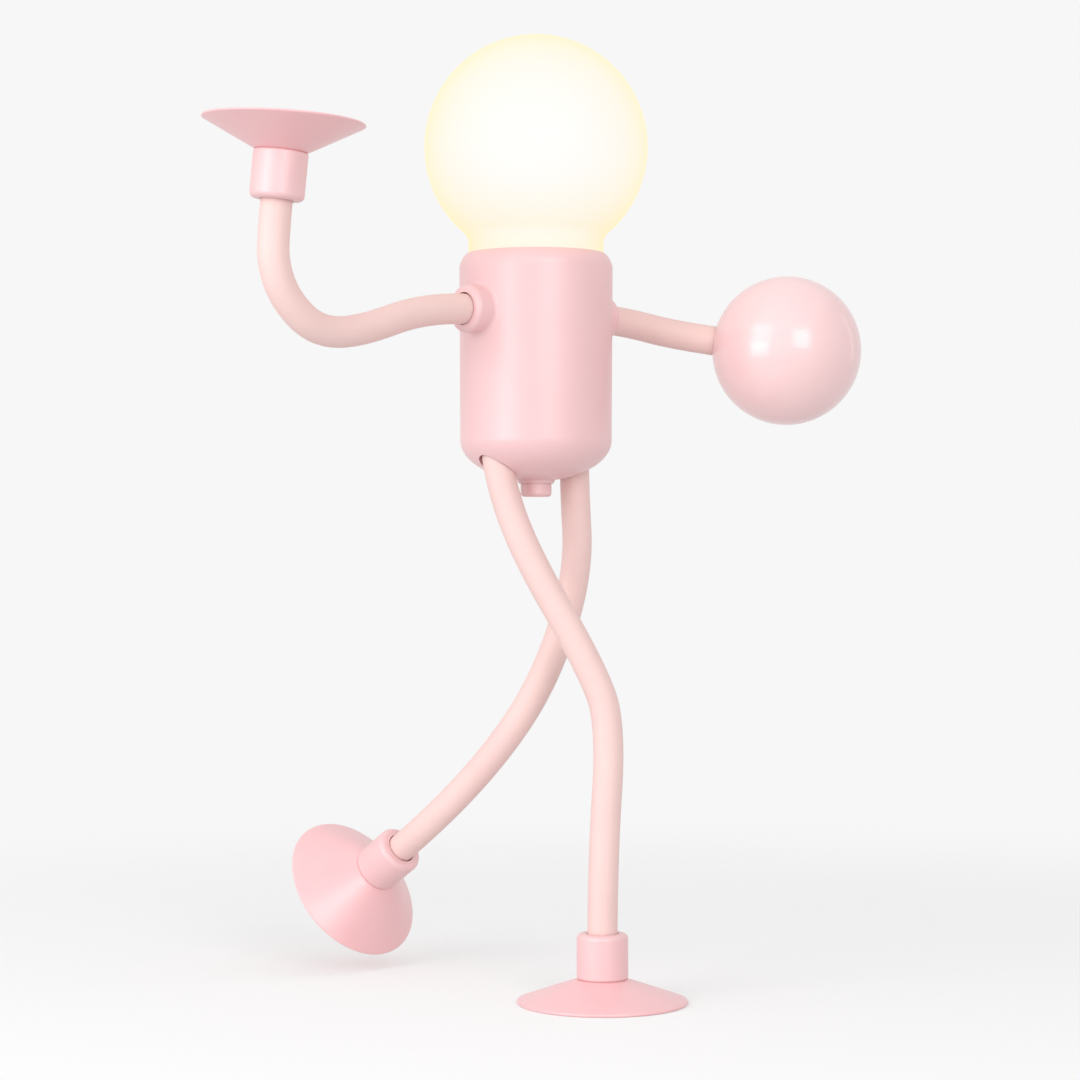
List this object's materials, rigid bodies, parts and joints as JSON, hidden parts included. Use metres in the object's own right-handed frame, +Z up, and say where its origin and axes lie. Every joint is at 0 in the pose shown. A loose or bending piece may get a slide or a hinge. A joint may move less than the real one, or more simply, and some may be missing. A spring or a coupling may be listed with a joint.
{
  "type": "night light",
  "caption": "Bendable figure night light: frosted globe on a round body, wire-cored silicone limbs with suction cups and a ball, push button underneath.",
  "frame": {"origin": "centre of the standing foot's sole, on the surface it stands on", "axes": "+Z up, -Y is the figure's front, X along its shoulder line with the ball arm at +X"},
  "size_m": [0.1883, 0.1414, 0.2583],
  "materials": {
    "frosted_globe": "frosted satin, lit from inside",
    "pink_shell": "satin",
    "pink_cap": "satin",
    "pink_button": "satin",
    "pink_silicone": "matte",
    "pink_cup": "satin",
    "pink_ball": "gloss",
    "core_wire": "drawn",
    "crimp": "plain",
    "board": "solder mask",
    "lamp_board": "white solder mask",
    "switch_case": "moulded",
    "socket_shell": "plated",
    "frame_plastic": "moulded",
    "cell": "sleeved",
    "chip": "phosphor",
    "screw_steel": "zinc",
    "lead_red": "insulated"
  },
  "bodies": {
    "torso": {"globe_diffuser": "frosted_globe", "body_shell": "pink_shell", "base_cap": "pink_cap", "control_board": "board", "tact_switch": "switch_case", "usb_socket": "socket_shell", "inner_frame": "frame_plastic", "battery_cell": "cell", "led_board": "lamp_board", "led_chips": "chip", "led_screws": "screw_steel", "frame_screws": "screw_steel", "led_leads": "lead_red", "battery_leads": "lead_red", "limb_anchors": "crimp", "cup_arm_core_wire": "core_wire", "cup_arm_root_sleeve": "pink_silicone", "standing_leg_core_wire": "core_wire", "standing_leg_root_sleeve": "pink_silicone", "raised_leg_core_wire": "core_wire", "raised_leg_root_sleeve": "pink_silicone", "ball_arm_core_wire": "core_wire", "ball_arm_sleeve": "pink_silicone"},
    "button": {"push_button": "pink_button"},
    "cup_arm_upper": {"cup_arm_upper_sleeve": "pink_silicone", "cup_arm_middle_sleeve": "pink_silicone"},
    "cup_arm_lower": {"cup_arm_lower_sleeve": "pink_silicone", "cup_arm_end_sleeve": "pink_silicone"},
    "cup_hand": {"cup_hand_ferrule": "crimp", "cup_hand_collar": "pink_shell", "cup_hand_suction_cup": "pink_cup"},
    "standing_upper": {"standing_leg_upper_sleeve": "pink_silicone", "standing_leg_middle_sleeve": "pink_silicone"},
    "standing_lower": {"standing_leg_lower_sleeve": "pink_silicone", "standing_leg_end_sleeve": "pink_silicone"},
    "standing_foot": {"standing_foot_ferrule": "crimp", "standing_foot_collar": "pink_shell", "standing_foot_suction_cup": "pink_cup"},
    "raised_upper": {"raised_leg_upper_sleeve": "pink_silicone", "raised_leg_middle_sleeve": "pink_silicone"},
    "raised_lower": {"raised_leg_lower_sleeve": "pink_silicone", "raised_leg_end_sleeve": "pink_silicone"},
    "raised_foot": {"raised_foot_ferrule": "crimp", "raised_foot_collar": "pink_shell", "raised_foot_suction_cup": "pink_cup"},
    "ball_hand": {"ball_hand_ferrule": "crimp", "hand_ball": "pink_ball"}
  },
  "joints": [
    {"name": "button_press", "type": "slide", "parent": "torso", "child": "button", "axis": [0, 0, 1], "range_m": [0, 0.0008], "stiffness_N_per_m": 600},
    {"name": "cup_arm_shoulder", "type": "hinge", "parent": "torso", "child": "cup_arm_upper", "pos_m": [-0.04283, 0.0188, 0.18311], "axis": [0, 1, 0], "range_deg": [-60, 30], "deforming": ["cup_arm_core_wire", "cup_arm_root_sleeve"]},
    {"name": "cup_arm_elbow", "type": "hinge", "parent": "cup_arm_upper", "child": "cup_arm_lower", "pos_m": [-0.08329, 0.0188, 0.1771], "axis": [0, -1, 0], "range_deg": [-30, 80], "deforming": ["cup_arm_middle_sleeve"]},
    {"name": "cup_arm_wrist", "type": "hinge", "parent": "cup_arm_lower", "child": "cup_hand", "pos_m": [-0.09385, 0.01874, 0.19922], "axis": [0, -1, 0], "range_deg": [-30, 45], "deforming": ["cup_arm_end_sleeve"]},
    {"name": "ball_arm_shoulder", "type": "hinge", "parent": "torso", "child": "ball_hand", "pos_m": [0.03097, 0.01191, 0.18088], "axis": [-0.7544, -0.6564, 0], "range_deg": [-50, 50], "deforming": ["ball_arm_core_wire", "ball_arm_sleeve"]},
    {"name": "standing_hip", "type": "hinge", "parent": "torso", "child": "standing_upper", "pos_m": [-0.01825, 0.01646, 0.13075], "axis": [-1, 0, 0], "range_deg": [-4, 70], "deforming": ["standing_leg_core_wire", "standing_leg_root_sleeve"]},
    {"name": "standing_knee", "type": "hinge", "parent": "standing_upper", "child": "standing_lower", "pos_m": [-0.00013, 0.00015, 0.08112], "axis": [-1, 0, 0], "range_deg": [-6, 80], "deforming": ["standing_leg_middle_sleeve"]},
    {"name": "standing_ankle", "type": "hinge", "parent": "standing_lower", "child": "standing_foot", "pos_m": [0.00002, -0.00002, 0.02957], "axis": [1, 0, 0], "range_deg": [-30, 30], "deforming": ["standing_leg_end_sleeve"]},
    {"name": "raised_hip", "type": "hinge", "parent": "torso", "child": "raised_upper", "pos_m": [0.00785, 0.01884, 0.12974], "axis": [1, 0, 0], "range_deg": [-4, 60], "deforming": ["raised_leg_core_wire", "raised_leg_root_sleeve"]},
    {"name": "raised_knee", "type": "hinge", "parent": "raised_upper", "child": "raised_lower", "pos_m": [0.00221, 0.03138, 0.07833], "axis": [1, 0, 0], "range_deg": [-22, 50], "deforming": ["raised_leg_middle_sleeve"]},
    {"name": "raised_ankle", "type": "hinge", "parent": "raised_lower", "child": "raised_foot", "pos_m": [-0.00731, 0.0653, 0.04146], "axis": [-1, 0, 0], "range_deg": [-30, 30], "deforming": ["raised_leg_end_sleeve"]}
  ]
}
